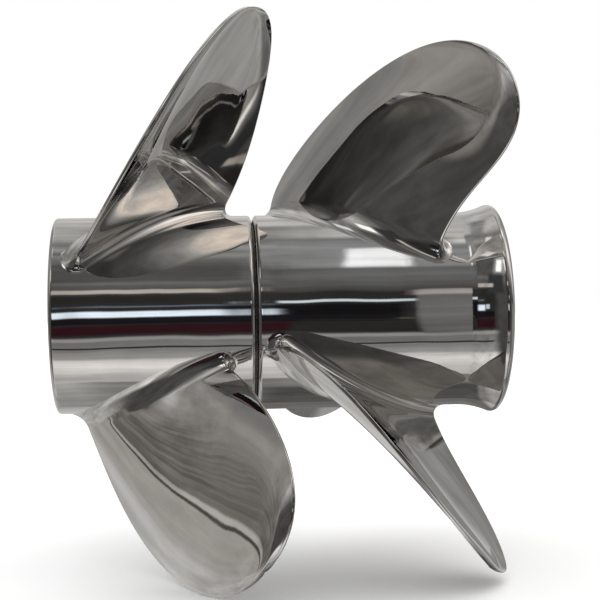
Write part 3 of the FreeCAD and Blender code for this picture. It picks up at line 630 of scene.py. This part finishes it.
def make_world():
    """Plain white to the camera and to matt surfaces; to the mirror finish, the painted studio."""
    world = bpy.data.worlds.new("studio")
    bpy.context.scene.world = world
    world.use_nodes = True
    nodes = Nodes(world.node_tree)
    direction = nodes.add("ShaderNodeTexCoord").outputs["Generated"]
    split = nodes.add("ShaderNodeSeparateXYZ", Vector=direction)
    x, y, z = split.outputs
    toward = nodes.math("MULTIPLY", y, -1.0)
    turn = nodes.math("DEGREES", nodes.math("ARCTAN2", z, toward))

    def wall(levels):
        ramp = nodes.add("ShaderNodeValToRGB", Fac=nodes.mapped(turn, -180.0, 180.0, 0.0, 1.0))
        elements = ramp.color_ramp.elements
        for degrees, level in levels:
            share = (degrees + 180.0) / 360.0
            if share == 0.0:
                element = elements[0]
            elif share == 1.0:
                element = elements[-1]
            else:
                element = elements.new(share)
            element.color = [level * tone for tone in WALL_TINT] + [1.0]
        return ramp.outputs["Color"]

    def panel(low_x, high_x, low_turn, high_turn, soft_x, soft_turn):
        left = nodes.mapped(x, low_x - soft_x, low_x + soft_x, 0.0, 1.0, True)
        right = nodes.mapped(x, high_x - soft_x, high_x + soft_x, 1.0, 0.0, True)
        low = nodes.mapped(turn, low_turn - soft_turn, low_turn + soft_turn, 0.0, 1.0, True)
        high = nodes.mapped(turn, high_turn - soft_turn, high_turn + soft_turn, 1.0, 0.0, True)
        return nodes.math("MULTIPLY", nodes.math("MULTIPLY", left, right),
                          nodes.math("MULTIPLY", low, high))

    studio = nodes.mix(nodes.mapped(x, *RIGHT_BLEND, 0.0, 1.0, True), wall(MIDDLE_WALL),
                       wall(RIGHT_WALL))
    studio = nodes.mix(nodes.mapped(x, *LEFT_BLEND, 1.0, 0.0, True), studio, wall(LEFT_WALL))
    # far left: a wood-grained cupboard in a pale frame with a thin dark and bright moulding
    slope = nodes.vector_math("DOT_PRODUCT", {0: direction, 1: CUPBOARD_SLOPE}).outputs["Value"]
    far = nodes.math("MULTIPLY", nodes.mapped(x, *CUPBOARD_X, 1.0, 0.0, True),
                     nodes.mapped(y, *CUPBOARD_Y, 0.0, 1.0, True))

    def above(limit, soft):
        past = nodes.mapped(slope, limit - soft, limit + soft, 0.0, 1.0, True)
        return nodes.math("MULTIPLY", far, past)

    flow = nodes.add("ShaderNodeCombineXYZ", X=nodes.math("MULTIPLY", slope, GRAIN_ACROSS),
                     Y=nodes.math("MULTIPLY", z, GRAIN_ALONG),
                     Z=nodes.math("MULTIPLY", y, GRAIN_ALONG))
    grain = nodes.mapped(noise(nodes, flow.outputs[0], 1.0, 3.0), 0.36, 0.64, 0.0, 1.0)
    wood = nodes.mix(grain, WOOD_DARK, WOOD_LIGHT)
    wood = nodes.mix(nodes.mapped(z, 0.15, 0.45, 0.0, 1.0, True), wood, WOOD_TOP)
    for limit, soft, colour in CUPBOARD_EDGE:
        studio = nodes.mix(above(limit, soft), studio, colour)
    studio = nodes.mix(above(WOOD_START, WOOD_SOFTNESS), studio, wood)
    for place, colour in PATCHES:
        studio = nodes.mix(panel(*place), studio, colour)
    # uneven light, as in any real room
    clutter = noise(nodes, direction, 5.0, 4.0, 0.6)
    uneven = nodes.mapped(clutter, 0.32, 0.68, DIMMEST, BRIGHTEST)
    studio = nodes.vector_math("SCALE", {0: studio, "Scale": uneven}).outputs[0]
    path = nodes.add("ShaderNodeLightPath")
    light = nodes.mix(path.outputs["Is Camera Ray"], studio, WHITE)
    light = nodes.mix(path.outputs["Is Diffuse Ray"], light, MATT_LIGHT)
    background = nodes.add("ShaderNodeBackground", Color=light, Strength=1.0)
    nodes.add("ShaderNodeOutputWorld", Surface=background.outputs[0])


def make_floor():
    """Wide pale floor just under the lowest blade tip."""
    material, nodes = new_material("studio_floor")
    grain = noise(nodes, stretched(nodes), 3.0)
    tint = nodes.mix(grain, (0.93, 0.93, 0.93, 1.0), (0.95, 0.95, 0.95, 1.0))
    shader = nodes.add("ShaderNodeBsdfDiffuse", Color=tint)
    nodes.add("ShaderNodeOutputMaterial", Surface=shader.outputs[0])
    mesh = bpy.data.meshes.new("floor")
    half = FLOOR_HALF_WIDTH
    z = cad_low.z - FLOOR_GAP
    corners = [(-half, -half, z), (half, -half, z), (half, half, z), (-half, half, z)]
    mesh.from_pydata(corners, [], [(0, 1, 2, 3)])
    mesh.materials.append(material)
    floor = bpy.data.objects.new("floor", mesh)
    bpy.context.scene.collection.objects.link(floor)
    floor.visible_glossy = False


def make_camera():
    """The photographer's view: level with the shaft axis, a little to the left."""
    data = bpy.data.cameras.new("camera")
    data.lens = FOCAL_LENGTH
    data.sensor_width = SENSOR_WIDTH
    data.clip_start = 0.01
    data.clip_end = 200.0
    camera = bpy.data.objects.new("camera", data)
    bpy.context.scene.collection.objects.link(camera)
    yaw, pitch, roll = CAMERA_TURN
    ahead = Vector((-math.sin(yaw) * math.cos(pitch), math.cos(yaw) * math.cos(pitch),
                    math.sin(pitch)))
    level = Vector((math.cos(yaw), math.sin(yaw), 0.0))
    above = level.cross(ahead)
    right = level * math.cos(roll) - above * math.sin(roll)
    up = above * math.cos(roll) + level * math.sin(roll)
    turn = Matrix((right, up, -ahead)).transposed()
    camera.matrix_world = Matrix.Translation(Vector(CAMERA_PLACE) * MM) @ turn.to_4x4()
    bpy.context.scene.camera = camera


# ------------------------------------------------------------------ build

metal = polished_stainless()
rough = cast_steel()
make_propeller("front", FRONT_FORM, front_barrel_outline(), FRONT_CORE, metal, rough)
make_propeller("rear", REAR_FORM, rear_barrel_outline(), REAR_CORE, metal, rough)

finishes = {
    "bronze": turned_metal("bronze", (0.62, 0.44, 0.24, 1.0), (0.38, 0.25, 0.13, 1.0), 0.22, 0.42),
    "plain_steel": turned_metal("plain_steel", (0.56, 0.55, 0.53, 1.0), (0.40, 0.39, 0.37, 1.0),
                                0.2, 0.38),
    "bush_rubber": bush_rubber(),
}
for subpart in frame["record"]["subparts"]:
    finish = finishes.get(subpart["material_slot"])
    if finish is not None:
        node = frame["nodes"][subpart["node"]]
        for material_slot in node.material_slots:
            material_slot.material = finish

make_world()
make_floor()
make_camera()
bpy.context.scene.view_settings.view_transform = "Standard"
